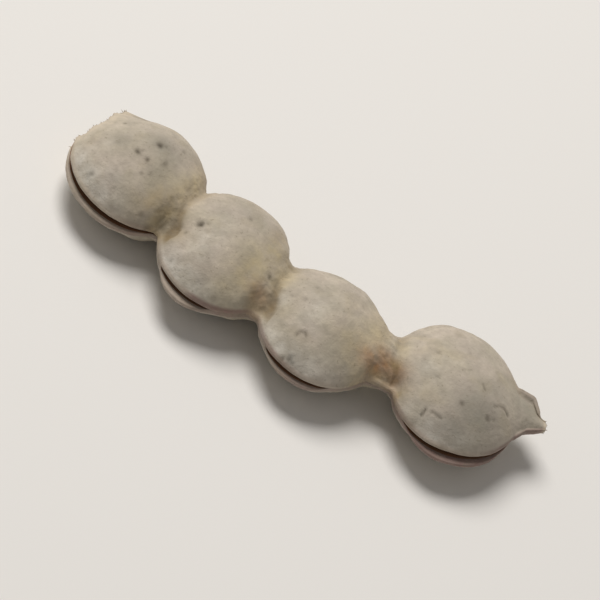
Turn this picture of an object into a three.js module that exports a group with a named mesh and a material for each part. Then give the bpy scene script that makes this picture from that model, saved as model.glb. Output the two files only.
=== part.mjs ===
// A babul pod: a length of the dry, beaded seed pod of the babul tree, broken off at both ends.
//
// It grew as one piece. Four flat round beads, each over one seed, follow each other in a gentle bow, with
// a narrow waist between neighbours. Each valve is a row of domes on a low neck: the back of a bead runs
// down to the next waist, and the next bead stands up out of it. The two valves, an upper and a lower, meet
// along both edges of the pod. On the inner edge of the bow they are still shut, with a fine seam between
// them. On the outer edge each bead has begun to gape: a thin crack opens along part of it and closes again
// before the waist, and there the lower valve stands out past the upper one as a lip. One end is the wide
// broken stump of the next waist, and the other a small torn beak that leans towards the gaping edge.
//
// Millimetres. The pod lies on one broad face. +X runs along it from the stump to the beak, -Y is the gaping
// edge, +Z is up, and the origin is on the surface that it rests on, under the middle of its box.

import * as THREE from 'three';
import { LoftGeometry } from 'three/addons/geometries/LoftGeometry.js';

// Driving dimensions.
const POD_LENGTH = 51.6; // along the middle line, from stump to beak
const BOW_RADIUS = 60; // of the middle line
const SEAM_HEIGHT = 3.6; // of the plane where the valves meet, above the surface that the pod rests on
const RESTING_FLAT = 0.12; // how much of each bead's underside is flattened, measured upwards

// Each bead: its middle along the pod, half its length, how much shorter its gaping outline is towards the
// stump, where its dome begins along the middle line, its reach from that line to the gaping and to the shut
// edge, and how far its upper valve rises above the seam. Then from where to where its crack runs, how high
// that is, and how far the lower valve's lip stands out. The first crack runs out through the stump.
const BEADS = [
  {
    at: 5.6,
    halfLength: 6.6,
    narrowing: 0,
    domeStart: -0.55,
    gapingReach: 6.8,
    shutReach: 6.9,
    rise: 4.1,
    crack: [-3, 12],
    crackHeight: 0.56,
    lip: 0.5,
  },
  {
    at: 16.9,
    halfLength: 6.2,
    narrowing: 0.15,
    domeStart: 9.9,
    gapingReach: 7.1,
    shutReach: 7.7,
    rise: 3.8,
    crack: [13.7, 19.6],
    crackHeight: 0.3,
    lip: 0.65,
  },
  {
    at: 28.5,
    halfLength: 6.2,
    narrowing: 0,
    domeStart: 21.1,
    gapingReach: 7.25,
    shutReach: 6.4,
    rise: 3.7,
    crack: [24.9, 31.6],
    crackHeight: 0.28,
    lip: 0.4,
  },
  {
    at: 42.1,
    halfLength: 6.9,
    narrowing: 0.9,
    domeStart: 34.7,
    gapingReach: 7.25,
    shutReach: 7.8,
    rise: 3.7,
    crack: [38.2, 48.6],
    crackHeight: 0.4,
    lip: 0.75,
  },
];
const LOWER_RISE = SEAM_HEIGHT + RESTING_FLAT; // how far each bead's lower valve would reach below the seam
const DOME_TURN = 3.0; // how far to the gaping side a dome's start has reached the start of the outline

// The stump, the three waists, and the root, the shoulder and the tip of the beak, measured in the same way.
const STUMP = { at: 0, gapingReach: 3.0, shutReach: 2.9, rise: 1.1 };
const WAISTS = [
  { at: 11.4, gapingReach: 3.8, shutReach: 4.0, rise: 2.3 },
  { at: 22.7, gapingReach: 4.1, shutReach: 4.2, rise: 2.3 },
  { at: 34.9, gapingReach: 3.2, shutReach: 3.2, rise: 2.0 },
];
const BEAK = [
  { at: 48.6, gapingReach: 2.9, shutReach: 3.0, rise: 1.45 },
  { at: 50.0, gapingReach: 2.1, shutReach: 2.2, rise: 1.0 },
  { at: POD_LENGTH, gapingReach: 1.5, shutReach: -0.3, rise: 0.5 },
];
const NARROWS = [STUMP, ...WAISTS, ...BEAK];

// The neck that the domes stand on.
const NECK_START = 0.3; // where it parts from a bead's dome, as a share of the way to the next waist
const NECK_SHARE = 0.97; // of the bead's rise that it has there
const NECK_RUN = 1.4; // how far it runs on under the next bead
const NECK_DIP = 0.7; // of the waist's rise that is left there
const NECK_ROUND = { until: 0.4, from: 0.8 }; // of a bead's half length: its back is round, then turns flat

// Powers that shape the profiles.
const DOME_POWER = 0.58; // 0.5 makes an ellipse, and a higher one is flatter at the dome's foot
const NECK_POWERS = [4, 0.6]; // for its flat back, and for its round shoulders
const CRACK_POWER = 3; // the higher, the sooner a crack is fully open

const VALVE_EDGE = 0.45; // thickness of each valve's rounded edge
const THIN_EDGE = 0.6; // the most of a valve's rise that its edge takes up, where the pod is thin
const SEAM_DEPTH = 0.3; // of the groove between the two shut edges
const CRACK_DEPTH = 2.6; // at the middle of a crack
const CLOSED_CRACK = { height: 0.12, depth: 0.35 }; // at a waist, where only a groove is left
const OUTLINE_BLEND = 0.22; // how softly a bead's outline runs into a waist
const CREASE_BLEND = 0.15; // how softly a dome stands up out of the neck

// Fineness of the mesh.
const STATION_PITCH = 0.6;
const POINTS_OVER_VALVE = 19;
const EDGE_ANGLES = [-60, 0, 60]; // degrees, from the inside of a valve's edge to its outside

// The middle line: an arc in the plane of the seam that bows towards -Y.
const halfTurn = POD_LENGTH / BOW_RADIUS / 2;
const middleLine = new THREE.ArcCurve(
  0,
  BOW_RADIUS,
  BOW_RADIUS,
  -Math.PI / 2 - halfTurn,
  -Math.PI / 2 + halfTurn,
);

// The largest of several values, rounded off where two of them are close.
function softMax(blend, values) {
  const top = Math.max(...values);
  const sum = values.reduce((total, value) => total + Math.exp((value - top) / blend), 0);
  return top + blend * Math.log(sum);
}

// How far along a bead's oval a place is, from -1 at one end to 1 at the other.
function alongBead(place, middle, halfBefore, halfAfter) {
  const share = (place - middle) / (place < middle ? halfBefore : halfAfter);
  return THREE.MathUtils.clamp(share, -1, 1);
}

// A measure of the stump, waists and beak, drawn straight from each of them to the next.
function alongNarrows(place, measure) {
  const next = Math.max(1, NARROWS.findIndex((narrow) => narrow.at >= place));
  const [before, after] = [NARROWS[next - 1], NARROWS[next]];
  return THREE.MathUtils.mapLinear(place, before.at, after.at, before[measure], after[measure]);
}

// The pod's reach to one side: the ovals of its beads, joined by the waists.
function reachAt(place, side) {
  const narrow = alongNarrows(place, side);
  const ovals = BEADS.map((bead) => {
    const shorter = side === 'gapingReach' ? bead.narrowing : 0;
    const share = alongBead(place, bead.at, bead.halfLength - shorter, bead.halfLength);
    return bead[side] * Math.sqrt(1 - share ** 2);
  });
  return softMax(OUTLINE_BLEND, [narrow, ...ovals]);
}

// The neck's rise at a place. It falls from each bead's middle to the next waist, and a little further on.
function neckAt(place) {
  const last = BEADS.findLastIndex((bead) => bead.at <= place);
  if (last < 0) {
    return STUMP.rise;
  }
  const bead = BEADS[last];
  const waist = WAISTS[last] ?? BEAK[0];
  const share = (place - bead.at) / (waist.at - bead.at);
  if (share <= 1) {
    const fall = THREE.MathUtils.lerp(NECK_SHARE * bead.rise, waist.rise, share ** 2);
    return fall * THREE.MathUtils.smoothstep(share, 0, NECK_START);
  }
  if (waist === BEAK[0]) {
    return alongNarrows(place, 'rise');
  }
  const run = (place - waist.at) / NECK_RUN;
  return run < 1 ? waist.rise * THREE.MathUtils.lerp(1, NECK_DIP, run) : STUMP.rise;
}

// How open the gaping edge is, from 0 where it is shut to 1 at the middle of a crack.
function gapeAt(place) {
  const gapes = BEADS.map(({ crack: [from, to] }) => {
    const share = (2 * place - from - to) / (to - from); // -1 and 1 at its ends
    return 1 - Math.abs(share) ** CRACK_POWER;
  });
  return Math.max(0, ...gapes);
}

// A valve's rounded edge from its inside to its outside, as pairs of (reach, height above the seam).
function roundedEdge(reach, low, thickness) {
  const radius = thickness / 2;
  return EDGE_ANGLES.map((degrees) => {
    const angle = THREE.MathUtils.degToRad(degrees);
    return [reach - radius + radius * Math.cos(angle), low + radius + radius * Math.sin(angle)];
  });
}

// The share of its full rise that a dome has at a share of its reach: round on top, and steep at its foot.
function pillow(share) {
  return (1 - Math.min(1, Math.abs(share)) ** 2) ** DOME_POWER;
}

// The share of its rise that the neck has at a share of its reach: flat, with round shoulders.
function ridge(share) {
  return (1 - Math.abs(share) ** NECK_POWERS[0]) ** NECK_POWERS[1];
}

// A valve's height above the seam at a spot on its back: the beads' domes and the neck.
function backAt(place, across, share, rises) {
  const aside = THREE.MathUtils.smoothstep(-across, 0, DOME_TURN);
  const domes = BEADS.map((bead, i) => {
    const start = bead.halfLength - bead.narrowing;
    const halfBefore = THREE.MathUtils.lerp(bead.at - bead.domeStart, start, aside);
    const along = alongBead(place, bead.at, halfBefore, bead.halfLength);
    const beside = across / (across < 0 ? bead.gapingReach : bead.shutReach);
    return rises[i] * pillow(Math.hypot(along, beside));
  });
  const fromMiddles = BEADS.map((bead) => Math.abs(place - bead.at) / bead.halfLength);
  const pastBead = THREE.MathUtils.smoothstep(Math.min(...fromMiddles), NECK_ROUND.until, NECK_ROUND.from);
  const neck = neckAt(place) * THREE.MathUtils.lerp(pillow(share), ridge(share), pastBead);
  return softMax(CREASE_BLEND, [neck, ...domes]);
}

// One valve in section at a place, from the seam round to the bottom of the crack, as pairs of (across,
// height).
function valveOutline(place, { rises, shutReach, gapingReach, crackHeight, crackDepth }) {
  const edge = Math.min(VALVE_EDGE, backAt(place, 0, 0, rises) * THIN_EDGE);
  const lip = crackHeight / 2;
  const shutEdge = roundedEdge(shutReach, 0, edge);
  const gapingEdge = roundedEdge(gapingReach, lip, edge).map(([reach, height]) => [-reach, height]);
  const back = [];
  for (let i = 1; i <= POINTS_OVER_VALVE; i++) {
    const share = Math.cos((Math.PI * i) / (POINTS_OVER_VALVE + 1));
    const across = share * (share > 0 ? shutReach : gapingReach);
    const foot = share > 0 ? edge : edge + lip;
    back.push([across, Math.max(foot, backAt(place, across, share, rises))]);
  }
  const crackBottom = [crackDepth - gapingReach, CLOSED_CRACK.height / 2];
  return [...shutEdge, ...back, ...gapingEdge.reverse(), crackBottom];
}

// The pod's section at a place along it, as points in space.
function sectionAt(place) {
  const gape = gapeAt(place);
  const nearest = BEADS.reduce((a, b) => (Math.abs(b.at - place) < Math.abs(a.at - place) ? b : a));
  const shutReach = reachAt(place, 'shutReach');
  const gapingReach = reachAt(place, 'gapingReach');
  const crackHeight = THREE.MathUtils.lerp(CLOSED_CRACK.height, nearest.crackHeight, gape);
  const crackDepth = THREE.MathUtils.lerp(CLOSED_CRACK.depth, CRACK_DEPTH, gape);
  const lip = nearest.lip * gape;
  const upper = valveOutline(place, {
    rises: BEADS.map((bead) => bead.rise),
    shutReach,
    gapingReach,
    crackHeight,
    crackDepth,
  });
  const lower = valveOutline(place, {
    rises: BEADS.map(() => LOWER_RISE),
    shutReach,
    gapingReach: gapingReach + lip,
    crackHeight,
    crackDepth: crackDepth + lip,
  });
  const lowerUpsideDown = lower.reverse().map(([y, z]) => [y, -z]);
  const seam = [shutReach - SEAM_DEPTH, 0];

  const middle = middleLine.getPoint(place / POD_LENGTH);
  const along = middleLine.getTangent(place / POD_LENGTH);
  return [seam, ...upper, ...lowerUpsideDown].map(([y, z]) => {
    const height = Math.max(0, SEAM_HEIGHT + z);
    return new THREE.Vector3(middle.x - along.y * y, middle.y + along.x * y, height);
  });
}

// Places along the pod, closest together at the waists, where its outline turns fastest.
function stations() {
  const places = [0];
  for (let i = 1; i < NARROWS.length; i++) {
    const [from, to] = [NARROWS[i - 1].at, NARROWS[i].at];
    const count = Math.ceil((to - from) / STATION_PITCH);
    for (let k = 1; k <= count; k++) {
      const eased = (1 - Math.cos((Math.PI * k) / count)) / 2;
      places.push(THREE.MathUtils.lerp(from, to, eased));
    }
  }
  return places;
}

const podGeometry = new LoftGeometry(stations().map(sectionAt), { capStart: true, capEnd: true });
podGeometry.computeBoundingBox();
const boxMiddle = podGeometry.boundingBox.getCenter(new THREE.Vector3());

const downyHusk = new THREE.MeshStandardMaterial({ color: 0xb9ab94, roughness: 0.95, metalness: 0 });

const pod = new THREE.Mesh(podGeometry, downyHusk);
pod.name = 'pod';
pod.position.set(-boxMiddle.x, -boxMiddle.y, 0);

const babulPod = new THREE.Group();
babulPod.add(pod);

export default babulPod;
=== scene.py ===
# A babul pod: a length of a dry, beaded seed pod, broken off at both ends, that lies on one broad face.
#
# The pod is one mesh, drawn as a row of closed sections along its middle line. Each section goes round both
# valves: over the upper one, round its gaping edge, in and out of the crack, and round the lower valve to the
# seam on the shut edge. The beads are domes on a low neck, with a crease where a dome stands up out of it.
# Then the husk gets its lumps, puckers, pits and folds, and both ends are torn.
#
# Lengths are in millimetres until the mesh is handed over in metres. A spot on the husk is (place, across):
# place runs along the middle line from the stump to the beak, and across from the gaping edge, below 0, to
# the shut edge, above 0. Most pairs of measures are where something begins to fade in or out, and ends.

import math
from typing import NamedTuple

import bpy
import numpy as np
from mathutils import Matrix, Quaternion, Vector, geometry, noise


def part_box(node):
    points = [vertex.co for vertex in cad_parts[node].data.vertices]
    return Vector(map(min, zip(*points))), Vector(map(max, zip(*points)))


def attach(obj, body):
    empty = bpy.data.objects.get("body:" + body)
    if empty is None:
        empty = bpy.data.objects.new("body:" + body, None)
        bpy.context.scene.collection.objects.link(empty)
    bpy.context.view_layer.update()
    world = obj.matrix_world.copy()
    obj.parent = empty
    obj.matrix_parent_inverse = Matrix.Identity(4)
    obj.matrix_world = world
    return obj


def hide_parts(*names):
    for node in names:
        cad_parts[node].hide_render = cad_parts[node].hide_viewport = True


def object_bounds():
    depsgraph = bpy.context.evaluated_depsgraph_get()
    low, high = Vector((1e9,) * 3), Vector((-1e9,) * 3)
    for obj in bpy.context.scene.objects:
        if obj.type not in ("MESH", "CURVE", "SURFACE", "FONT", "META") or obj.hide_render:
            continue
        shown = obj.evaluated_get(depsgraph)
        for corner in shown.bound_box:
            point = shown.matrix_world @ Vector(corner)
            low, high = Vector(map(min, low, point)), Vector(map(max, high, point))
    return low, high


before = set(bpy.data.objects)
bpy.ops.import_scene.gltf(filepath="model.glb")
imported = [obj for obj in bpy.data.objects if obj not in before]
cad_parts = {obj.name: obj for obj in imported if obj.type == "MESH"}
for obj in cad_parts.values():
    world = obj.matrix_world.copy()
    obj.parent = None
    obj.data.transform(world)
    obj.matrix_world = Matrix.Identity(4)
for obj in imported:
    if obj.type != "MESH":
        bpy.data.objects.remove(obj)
cad_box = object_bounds()

MM = 0.001
TINY = 1e-9  # stands in for a length of 0 in a division
rng = np.random.default_rng(7)


# ---- The pod's sizes. Its CAD solid has the same beads, waists and bow, and plainer edges and ends ----

POD_LENGTH = 51.6  # along the middle line
BOW_RADIUS = 60.0
SEAM_HEIGHT = 3.6  # of the plane where the valves meet, above the floor
LOWER_RISE = 3.72  # of each bead's lower valve below the seam, before it is flattened where it rests
VALVE_EDGE = 0.42  # thickness of a valve's rounded edge
THIN_EDGE = 0.6  # the most of a valve's rise that its edge takes up
EDGE_CURL = 60  # degrees that a valve's rounded edge curls in under itself
GAPING_MARGIN, SHUT_MARGIN = 0.12, 0.15  # width of the flat margins outside the beads' domes
MARGIN_SHARE = 0.2  # the most of the pod's reach that a margin takes up
SEAM_DEPTH = 0.3
CRACK_DEPTH = 2.6  # at the middle of a crack
CRACK_POWER = 3  # the higher, the sooner a crack is fully open
CLOSED_HEIGHT, CLOSED_DEPTH = 0.08, 0.35  # where the crack has closed to a groove
TILT_SPAN = 0.6  # share of the reach, both ways, over which the crack lifts a valve
SHELF = 0.06  # the least width of the level strip inside a gaping edge
SET_BACK = 0.3  # how far the lower valve's edge lies behind the upper one's where the crack has closed
OUTLINE_BLEND = 0.22  # how softly a bead's outline runs into a waist


class Bead(NamedTuple):
    at: float
    half_length: float
    narrowing: float  # how much shorter its gaping outline is on the stump's side
    dome_start: float  # where its dome begins on the stump's side, along the middle line
    overlap: float  # how much later it begins where the bead before swells over its gaping side
    gaping: float  # reach to the gaping edge
    shut: float  # reach to the shut edge
    rise: float  # of the upper valve above the seam
    crack: tuple  # from where to where it gapes
    crack_height: float


BEADS = (
    Bead(5.6, 6.6, 0.0, -0.55, 0.0, gaping=6.8, shut=6.9, rise=4.1, crack=(-3.0, 12.0), crack_height=0.56),
    Bead(16.9, 6.2, 0.15, 9.9, 0.4, gaping=7.1, shut=7.7, rise=3.8, crack=(13.7, 19.6), crack_height=0.3),
    Bead(28.5, 6.2, 0.0, 21.1, 0.0, gaping=7.25, shut=6.4, rise=3.7, crack=(24.9, 31.6), crack_height=0.28),
    Bead(42.1, 6.9, 0.9, 34.7, 0.0, gaping=7.25, shut=7.8, rise=3.7, crack=(38.2, 48.6), crack_height=0.4),
)
DOME_POWER = 0.58  # 0.5 makes an ellipse, and a higher one is flatter at the dome's foot
DOME_TURN = 3.0  # how far to the gaping side a dome's start has reached the start of the bead's outline
OVERLAP_FADE = 1.2  # how much further to the gaping side the overlap has gone

# How far the lower valve stands out past the upper one where a crack is open, by place.
LIPS = (
    (0.0, 0.2), (3.0, 0.3), (6.0, 0.45), (9.0, 0.65), (11.0, 0.5), (16.9, 0.65), (28.5, 0.4), (39.0, 0.5),
    (42.0, 0.75), (46.0, 0.7),
)


class Waist(NamedTuple):
    at: float
    gaping: float
    shut: float
    rise: float


STUMP = Waist(0.0, 3.0, 2.9, 1.1)
WAISTS = (
    Waist(11.4, 3.8, 4.0, 2.3),
    Waist(22.7, 4.1, 4.2, 2.3),
    Waist(34.9, 3.2, 3.2, 2.0),
)
BEAK = (
    Waist(48.6, 2.9, 3.0, 1.45),
    Waist(49.6, 1.8, 2.65, 1.15),
    Waist(50.25, 1.5, 2.45, 0.95),
    Waist(50.75, 1.3, 0.95, 0.8),
    Waist(POD_LENGTH, 0.85, -0.1, 0.5),
)
NARROWS = (STUMP, *WAISTS, *BEAK)
BEAK_LEAN = 0.5  # how far the tip's middle lies to the gaping side

# The back of each bead runs down to the next waist as a neck, and the next bead stands up out of it.
NECK_START = 0.3  # where the neck parts from the bead's dome, as a share of the way to the waist
NECK_SHARE = 0.97  # of the bead's rise that the neck would have in the bead's middle
NECK_DIP = 0.7  # of the waist's rise that is left under the next bead
NECK_RUN = 1.4  # how far under the next bead that is
NECK_POWERS = (3.4, 0.6)  # for its flat back, and for its round shoulders, at a waist
NECK_FLATTENS = (2.6, 1.0)  # how far before a waist it begins to get that profile, and has it
NECK_BLEND = 0.4  # how softly a dome runs down into its neck
SOFTEST, SOFT_RUN = 1.5, 0.8  # how far before a waist it does so, and for how long
SHOULDER_START, SHOULDER_SOFTNESS = 0.7, 0.7  # it is soft too from this share of the reach on, and how much
CREASE_BLEND = 0.1  # how softly the next dome stands up out of the neck
MARGIN_BLEND = 0.12  # how softly the back runs out into the margins

# Where the creases are, for their depth and their painted shade.
CREASE_STARTS = 1.5  # how far before a waist
CREASE_ENDS = (1.5, 2.5)  # how far behind it
CREASE_ON_NECK, CREASE_ON_DOME = 0.9, 0.4  # how far they spread, in height between neck and dome
CREASE_FOOT = (0.5, 1.2)  # in height of the neck


class Hollow(NamedTuple):
    place: float
    across: float
    length: float  # half of it, along the pod
    width: float
    depth: float


# Where the husk has sunk beside a waist.
HOLLOWS = (
    Hollow(12.5, -3.2, 0.9, 1.1, 0.4),
    Hollow(23.4, -3.0, 0.8, 1.0, 0.25),
    Hollow(36.4, -2.9, 1.1, 1.0, 0.3),
)

# Fineness of the mesh.
STATIONS = 396
FINE_PLACES = 4000  # that the stations are spread over
CROWDING, CROWDED_WIDTH = 0.6, 1.2  # how much closer they are at a crease or end, and how far round it
UPPER_POINTS = 108
LOWER_POINTS = 84
NOSE_POINTS = 6
WALL_POINTS = 7


# ---- Small sums ----


def smooth_max(blend, *values):
    """The largest of several arrays, rounded off where two of them are close."""
    stack = np.stack(np.broadcast_arrays(*values))
    top = stack.max(axis=0)
    return top + blend * np.log(np.exp((stack - top) / blend).sum(axis=0))


def hump(distance, width):
    """1 in the middle, and next to 0 from twice the width on."""
    return np.exp(-((distance / width) ** 2))


def step(value, start, end):
    """0 up to start, 1 from end on, and smooth between them."""
    share = np.clip((value - start) / (end - start), 0, 1)
    return share * share * (3 - 2 * share)


def grain(points, size, octaves=1, layer=0):
    """Smooth noise from about -1 to 1 at points in mm, with lumps about size across. Layers differ."""
    layer_shift = 17.3
    fall_off, refinement = 1.0, 2.0  # each octave is half as strong and half as large as the one before
    moved = points / size + layer_shift * layer
    values = [noise.fractal(p, fall_off, refinement, octaves) for p in moved.reshape(-1, 3).tolist()]
    return np.array(values).reshape(points.shape[:-1])


def lumps(points, *kinds):
    """Lumps of several kinds over each other. A kind is its size, its height and its noise layer."""
    return sum(height * grain(points, size, 2, layer=layer) for size, height, layer in kinds)


def pillow(share):
    """The share of its full rise that a dome has at a share of its reach: round on top, steep at the foot."""
    return (1 - np.clip(np.abs(share), 0, 1) ** 2) ** DOME_POWER


def in_space(place, across, height):
    """Points given by place, across and height above the seam, as x, y, z."""
    turn = (place - POD_LENGTH / 2) / BOW_RADIUS
    x = (BOW_RADIUS - across) * np.sin(turn)
    y = BOW_RADIUS - (BOW_RADIUS - across) * np.cos(turn)
    return np.stack(np.broadcast_arrays(x, y, SEAM_HEIGHT + height), axis=-1)


def by_place(place, stops):
    """A measure at each place, drawn straight from stop to stop. A stop is (place, measure)."""
    return np.interp(place, [stop[0] for stop in stops], [stop[1] for stop in stops])


# ---- The pod's shape: closed sections along the middle line ----


def outline(place, side):
    """The pod's reach to one side: its beads' ovals, joined by the waists."""
    narrow = by_place(place, [(w.at, getattr(w, side)) for w in NARROWS])
    ovals = []
    for bead in BEADS:
        narrowing = bead.narrowing if side == "gaping" else 0.0
        half = bead.half_length - narrowing * (place < bead.at)
        ovals.append(getattr(bead, side) * np.sqrt(1 - np.clip((place - bead.at) / half, -1, 1) ** 2))
    return smooth_max(OUTLINE_BLEND, narrow, *ovals)


def along_dome(bead, place, across):
    """How far along a bead's dome each spot is: -1 where it begins, 0 in its middle, 1 at its end."""
    middle = bead.at - bead.dome_start
    side = bead.half_length - bead.narrowing
    turned = step(-across, 0, DOME_TURN)
    overlap = bead.overlap * turned * (1 - step(-across, DOME_TURN, DOME_TURN + OVERLAP_FADE))
    before = middle + (side - middle) * turned - overlap
    return (place - bead.at) / np.where(place < bead.at, before, bead.half_length)


def neck_top(place):
    """The rise of the neck that the domes stand on: it falls from each bead's middle to the next waist."""
    neck = by_place(place, [(w.at, w.rise) for w in (STUMP, *BEAK)])
    for bead, waist in zip(BEADS, (*WAISTS, BEAK[0])):
        share = np.clip((place - bead.at) / (waist.at - bead.at), 0, 1)
        fall = waist.rise + (NECK_SHARE * bead.rise - waist.rise) * (1 - share**2)
        onto = (place <= waist.at) * step(share, 0, NECK_START)
        neck = neck + (fall - neck) * onto
        if waist in WAISTS:
            under = waist.rise * (1 - (1 - NECK_DIP) * (place - waist.at) / NECK_RUN)
            neck = np.where((place > waist.at) & (place < waist.at + NECK_RUN), under, neck)
    return neck


def gape(place):
    """How open the gaping edge is: 0 where it is shut, 1 at the middle of a crack."""
    opened = np.zeros_like(place)
    for bead in BEADS:
        start, end = bead.crack
        share = (2 * place - start - end) / (end - start)
        opened = np.maximum(opened, 1 - np.abs(share) ** CRACK_POWER)
    return opened


def overreach(place):
    """How far the lower valve's gaping edge stands out past the upper one's. Below 0 it is set back."""
    return by_place(place, LIPS) * gape(place) - SET_BACK * (1 - gape(place))


def domes_on_neck(place, across, share, reach, rises):
    """How high a valve's domes and their neck stand at each point, and how close it is to a crease."""
    domes = []
    for bead, rise in zip(BEADS, rises):
        along = along_dome(bead, place, across)
        side = across / np.where(across < 0, bead.gaping - GAPING_MARGIN, bead.shut - SHUT_MARGIN)
        domes.append(rise * pillow(np.hypot(along, side)))

    # The neck is as round as a dome at first, and has a flat back and round shoulders at a waist.
    margin = np.where(across < 0, GAPING_MARGIN, SHUT_MARGIN)
    margin = np.minimum(margin, MARGIN_SHARE * reach)
    neck_share = np.clip(np.abs(share) * reach / (reach - margin), 0, 1)
    begins, done = NECK_FLATTENS
    at_waist = sum(
        step(place, waist.at - begins, waist.at - done) * (place < waist.at + NECK_RUN) for waist in WAISTS
    )
    flat_back, shoulders = NECK_POWERS
    flat = (1 - neck_share**flat_back) ** shoulders
    neck = neck_top(place) * (pillow(neck_share) + (flat - pillow(neck_share)) * at_waist)

    onto_neck = sum(hump(place - waist.at + SOFTEST, SOFT_RUN) for waist in WAISTS)
    soft = np.maximum(onto_neck, SHOULDER_SOFTNESS * step(neck_share, SHOULDER_START, 1.0))
    top = smooth_max(CREASE_BLEND + (NECK_BLEND - CREASE_BLEND) * soft, neck, *domes)

    crease = 0 * top
    for waist, dome in zip(WAISTS, domes[1:]):
        near = step(place, waist.at - CREASE_STARTS, waist.at) * (1 - step(place - waist.at, *CREASE_ENDS))
        spread = hump(dome - neck, np.where(dome < neck, CREASE_ON_NECK, CREASE_ON_DOME))
        crease = crease + near * spread * step(neck, *CREASE_FOOT)
    return top, crease


def valve_section(place, upper):
    """One valve's outline from the seam over its back to the bottom of the crack: across and height, how
    close each point is to a crease, and the kind of each column."""
    opened = gape(place)
    shut = outline(place, "shut")
    gaping = outline(place, "gaping")
    depth = CLOSED_DEPTH + (CRACK_DEPTH - CLOSED_DEPTH) * opened
    if not upper:
        gaping = gaping + overreach(place)
        depth = depth + overreach(place)
    rises = [bead.rise if upper else LOWER_RISE for bead in BEADS]
    crests = [rise * pillow(along_dome(bead, place, 0.0)) for bead, rise in zip(BEADS, rises)]
    radius = np.minimum(VALVE_EDGE, smooth_max(CREASE_BLEND, neck_top(place), *crests) * THIN_EDGE) / 2
    crack_height = by_place(place, [(bead.at, bead.crack_height) for bead in BEADS])
    lip = (CLOSED_HEIGHT + (crack_height - CLOSED_HEIGHT) * opened) / 2

    # The shut edge, from the seam's groove out to the widest point.
    turn = np.radians(np.linspace(-EDGE_CURL, 0, NOSE_POINTS, endpoint=False))
    shut_nose = (shut - radius + radius * np.cos(turn), radius + radius * np.sin(turn))

    # The back, from the shut edge over to the gaping one, with a flat margin along both.
    share = np.cos(np.linspace(0, math.pi, UPPER_POINTS if upper else LOWER_POINTS))[None, :]
    middle = -BEAK_LEAN * step(place, BEAK[0].at, BEAK[-1].at)
    reach = np.where(share > 0, shut - middle, gaping + middle)
    across = middle + share * reach
    top, crease = domes_on_neck(place, across, share, reach, rises)
    foot = radius + lip * step(-share, -TILT_SPAN, TILT_SPAN)
    top = smooth_max(MARGIN_BLEND, top, foot + radius)
    from_end = np.clip((np.abs(share) - 1) * reach / radius + 1, 0, 1)
    back = (across, foot + (top - foot) * np.sqrt(1 - from_end**2))

    # The gaping edge, from its widest point in under itself.
    turn = np.radians(np.linspace(0, -EDGE_CURL, NOSE_POINTS + 1))[None, 1:]
    gaping_nose = (-(gaping - radius + radius * np.cos(turn)), lip + radius + radius * np.sin(turn))

    # The crack's wall: level as far in as the other valve's edge, then to the bottom of the crack.
    run = np.linspace(0, 1, WALL_POINTS)[None, :]
    shelf = SHELF if upper else np.maximum(overreach(place), SHELF)
    start = -gaping_nose[0][:, -1:] - shelf
    first = gaping_nose[1][:, -1:]
    wall = (-(start + (gaping - depth - start) * run), first + (CLOSED_HEIGHT / 2 - first) * run**2)

    parts = (shut_nose, back, gaping_nose, wall)
    kinds = ["seam"] * NOSE_POINTS + ["back"] * share.size + ["edge"] * (NOSE_POINTS + 1)
    kinds += ["wall"] * (WALL_POINTS - 1)
    crease = np.pad(crease, ((0, 0), (NOSE_POINTS, NOSE_POINTS + WALL_POINTS)))
    return np.concatenate([p[0] for p in parts], 1), np.concatenate([p[1] for p in parts], 1), crease, kinds


def station_places():
    """Places along the pod, closer together at the creases and at both torn ends."""
    fine = np.linspace(0, POD_LENGTH, FINE_PLACES)
    crowded = (STUMP, *WAISTS, *BEAK[::2])
    density = 1 + sum(CROWDING * hump(fine - waist.at, CROWDED_WIDTH) for waist in crowded)
    spread = np.cumsum(density) - density[0]
    return np.interp(np.linspace(0, 1, STATIONS), spread / spread[-1], fine)[:, None]


class Husk:
    """The pod's surface as a grid, with a row for each station and a column for each point of the section."""

    def __init__(self):
        place = station_places()
        upper_across, upper_height, upper_crease, upper_kinds = valve_section(place, upper=True)
        lower_across, lower_height, lower_crease, lower_kinds = valve_section(place, upper=False)
        seam = outline(place, "shut") - SEAM_DEPTH
        self.across = np.concatenate([seam, upper_across, lower_across[:, ::-1]], axis=1)
        self.height = np.concatenate([0 * seam, upper_height, -lower_height[:, ::-1]], axis=1)
        self.crease = np.concatenate([0 * seam, upper_crease, lower_crease[:, ::-1]], axis=1)
        self.place = place + 0 * self.across
        self.kind = np.array(["seam", *upper_kinds, *lower_kinds[::-1]])
        self.upper = np.arange(self.kind.size) <= len(upper_kinds)
        self.points = in_space(self.place, self.across, self.height)
        self.back = self.kind == "back"
        self.from_gaping = self.from_edge(gaping=True)
        self.from_shut = self.from_edge(gaping=False)

    def from_edge(self, gaping):
        """Each back point's distance over the husk from its valve's gaping or shut edge, and 0 elsewhere."""
        gaps = np.linalg.norm(np.diff(self.points, axis=1), axis=-1)
        distance = np.zeros_like(self.across)
        for valve in (self.upper, ~self.upper):
            columns = np.flatnonzero(self.back & valve)
            if (valve is self.upper) == gaping:
                columns = columns[::-1]
            for before, column in zip(columns, columns[1:]):
                distance[:, column] = distance[:, before] + gaps[:, min(before, column)]
        return distance

    def outward(self):
        """The direction out of the husk at each point."""
        along = np.gradient(self.points, axis=0)
        around = np.roll(self.points, -1, axis=1) - np.roll(self.points, 1, axis=1)
        out = np.cross(around, along)
        return out / np.maximum(np.linalg.norm(out, axis=-1, keepdims=True), TINY)


# ---- The marks on the husk ----


class Pit(NamedTuple):
    bead: int
    place: float  # from the bead's middle
    across: float
    width: float
    depth: float
    dark: float
    upper: bool = True


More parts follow.
